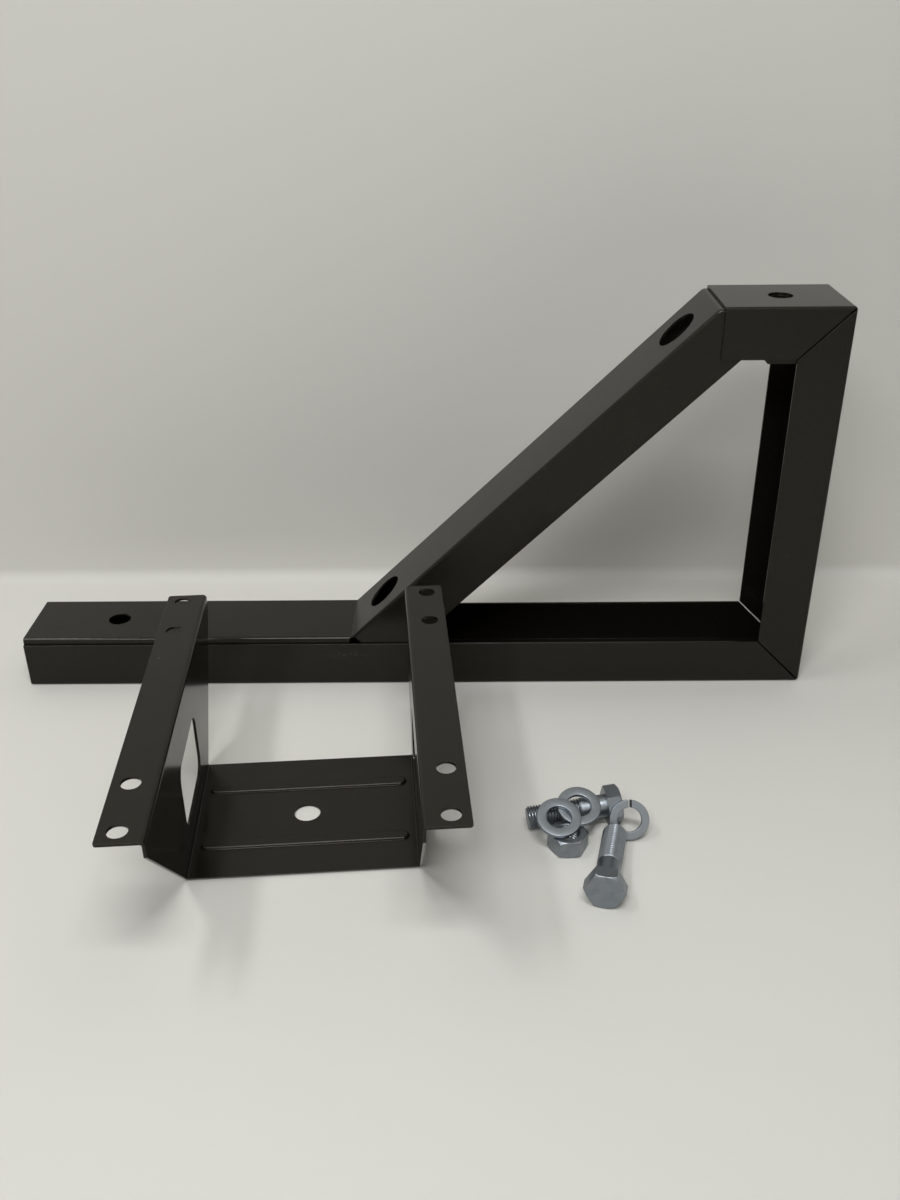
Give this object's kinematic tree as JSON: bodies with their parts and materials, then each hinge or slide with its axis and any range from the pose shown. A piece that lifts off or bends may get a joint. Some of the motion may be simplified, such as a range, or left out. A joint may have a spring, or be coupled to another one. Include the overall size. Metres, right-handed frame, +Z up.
{
  "type": "unit heater mounting bracket",
  "caption": "Triangular braced wall arm of folded steel channel with a folded swivel yoke that bolts to a heater, and its loose bolts, nut and washers.",
  "frame": {"origin": "centre of the swivel hole on the underside of the arm, which is the floor the part lies on", "axes": "+X along the arm towards the wall post, +Y across the channel away from the yoke, +Z up"},
  "size_m": [0.64, 0.3901, 0.311],
  "materials": {
    "bronze_paint": "dark bronze satin enamel",
    "zinc_steel": "bright zinc plate"
  },
  "bodies": {
    "root": {"arm_channel": "bronze_paint", "brace_channel": "bronze_paint", "yoke": "bronze_paint", "swivel_bolt": "zinc_steel", "second_bolt": "zinc_steel", "hex_nut": "zinc_steel", "spring_washer": "zinc_steel", "flat_washer_rear": "zinc_steel", "flat_washer_front": "zinc_steel"}
  },
  "joints": []
}
